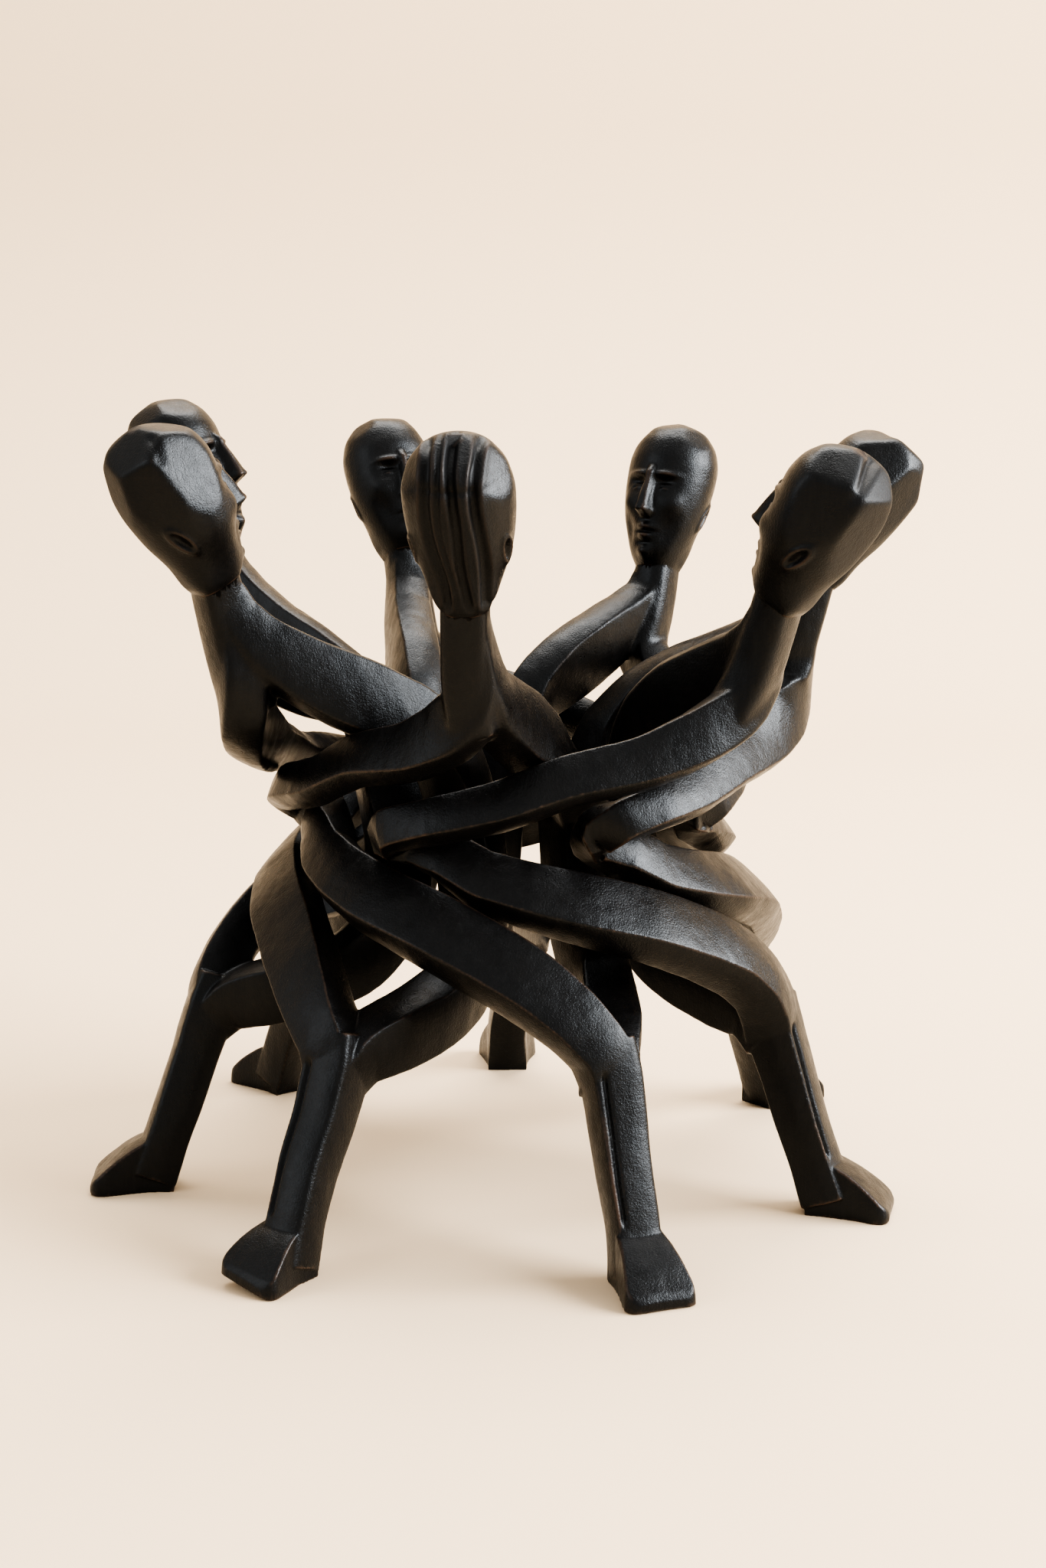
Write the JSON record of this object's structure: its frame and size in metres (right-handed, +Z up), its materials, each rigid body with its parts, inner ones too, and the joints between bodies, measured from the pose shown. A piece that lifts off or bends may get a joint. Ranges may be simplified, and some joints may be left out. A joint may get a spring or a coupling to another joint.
{
  "type": "carved wooden statue of a ring of figures",
  "caption": "Carved dark wooden statue: a ring of standing figures leaning outward, arms and legs interlocked at the waist, each on its own flat foot.",
  "frame": {"origin": "on the ground under the middle of the ring's outline", "axes": "+Z up; the view from -Y is the picture's front; X runs to the picture's right"},
  "size_m": [0.3116, 0.3046, 0.2917],
  "materials": {
    "dark_wood": "black-brown stained hardwood, waxed to a satin sheen, worn warm brown on the ridges"
  },
  "bodies": {
    "root": {"figure_front": "dark_wood", "figure_front_right": "dark_wood", "figure_right": "dark_wood", "figure_back_right": "dark_wood", "figure_back_left": "dark_wood", "figure_left": "dark_wood", "figure_front_left": "dark_wood"}
  },
  "joints": []
}
